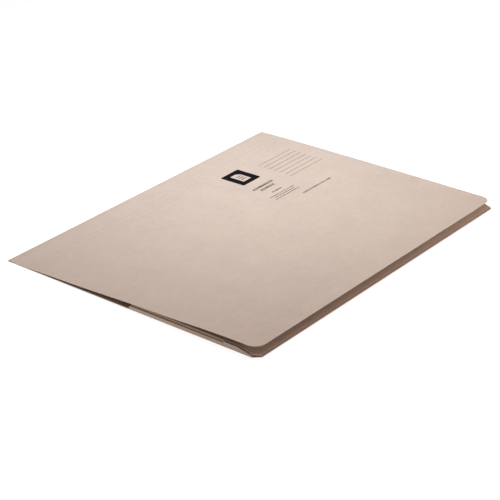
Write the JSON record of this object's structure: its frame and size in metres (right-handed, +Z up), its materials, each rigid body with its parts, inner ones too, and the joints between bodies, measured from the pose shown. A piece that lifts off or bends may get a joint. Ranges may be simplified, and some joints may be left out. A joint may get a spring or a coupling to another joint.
{
  "type": "document wallet",
  "caption": "Full-flap document wallet in folded buff card: a back, a creased flap on the top fold and a half-height pocket with folded side gussets.",
  "frame": {"origin": "on the table under the middle of the closed wallet, half way between the two long folds and between the two side edges", "axes": "+X along the folds to the right as the printed side of the flap is read, +Y towards the top fold that the flap turns on, +Z up out of the table"},
  "size_m": [0.355, 0.25, 0.0098],
  "materials": {
    "card": "matte",
    "folded_card": "matte",
    "inner_card": "matte",
    "dried_glue": "satin"
  },
  "bodies": {
    "back": {"back_panel": "card", "bottom_fold": "folded_card", "side_wall_left": "card", "side_wall_right": "card", "top_fold": "folded_card"},
    "pocket_spine": {"pocket_strip_1": "card", "pocket_strip_2": "card", "pocket_strip_3": "card"},
    "pocket_front": {"pocket_panel": "card", "glue_tab_left": "inner_card", "glue_tab_right": "inner_card", "glue_line_left": "dried_glue", "glue_line_right": "dried_glue"},
    "gusset_lower_left": {"gusset_lower_left": "inner_card"},
    "gusset_lower_right": {"gusset_lower_right": "inner_card"},
    "gusset_upper_left": {"gusset_upper_left": "inner_card"},
    "gusset_upper_right": {"gusset_upper_right": "inner_card"},
    "flap_spine": {"flap_strip_1": "card", "flap_strip_2": "card", "flap_strip_3": "card"},
    "flap_front": {"flap_panel": "card"}
  },
  "joints": [
    {"name": "pocket_expand", "type": "hinge", "parent": "back", "child": "pocket_spine", "pos_m": [0, -0.12445, 0.00055], "axis": [1, 0, 0], "range_deg": [0, 65]},
    {"name": "pocket_crease", "type": "hinge", "parent": "pocket_spine", "child": "pocket_front", "pos_m": [0, -0.09286, 0.0046], "axis": [1, 0, 0], "range_deg": [-65.1, 0]},
    {"name": "gusset_lower_left_fold", "type": "hinge", "parent": "back", "child": "gusset_lower_left", "pos_m": [-0.1771, -0.048, 0.0027], "axis": [0, -1, 0], "range_deg": [0, 65.1]},
    {"name": "gusset_lower_right_fold", "type": "hinge", "parent": "back", "child": "gusset_lower_right", "pos_m": [0.1771, -0.048, 0.0027], "axis": [0, 1, 0], "range_deg": [0, 65.1]},
    {"name": "gusset_upper_left_fold", "type": "hinge", "parent": "pocket_front", "child": "gusset_upper_left", "pos_m": [-0.1771, -0.048, 0.0038], "axis": [0, 1, 0], "range_deg": [0, 65.1]},
    {"name": "gusset_upper_right_fold", "type": "hinge", "parent": "pocket_front", "child": "gusset_upper_right", "pos_m": [0.1771, -0.048, 0.0038], "axis": [0, -1, 0], "range_deg": [0, 65.1]},
    {"name": "flap_open", "type": "hinge", "parent": "back", "child": "flap_spine", "pos_m": [0, 0.12445, 0.00055], "axis": [-1, 0, 0], "range_deg": [0, 159]},
    {"name": "flap_crease", "type": "hinge", "parent": "flap_spine", "child": "flap_front", "pos_m": [0, 0.09248, 0.00183], "axis": [-1, 0, 0], "range_deg": [0, 21.1]}
  ],
  "couplings": [
    {"joint": "pocket_crease", "follows": "pocket_expand", "ratio": -1},
    {"joint": "gusset_lower_left_fold", "follows": "pocket_expand", "ratio": 1},
    {"joint": "gusset_lower_right_fold", "follows": "pocket_expand", "ratio": 1},
    {"joint": "gusset_upper_left_fold", "follows": "pocket_expand", "ratio": 1},
    {"joint": "gusset_upper_right_fold", "follows": "pocket_expand", "ratio": 1},
    {"joint": "flap_crease", "follows": "pocket_expand", "ratio": 0.323}
  ]
}
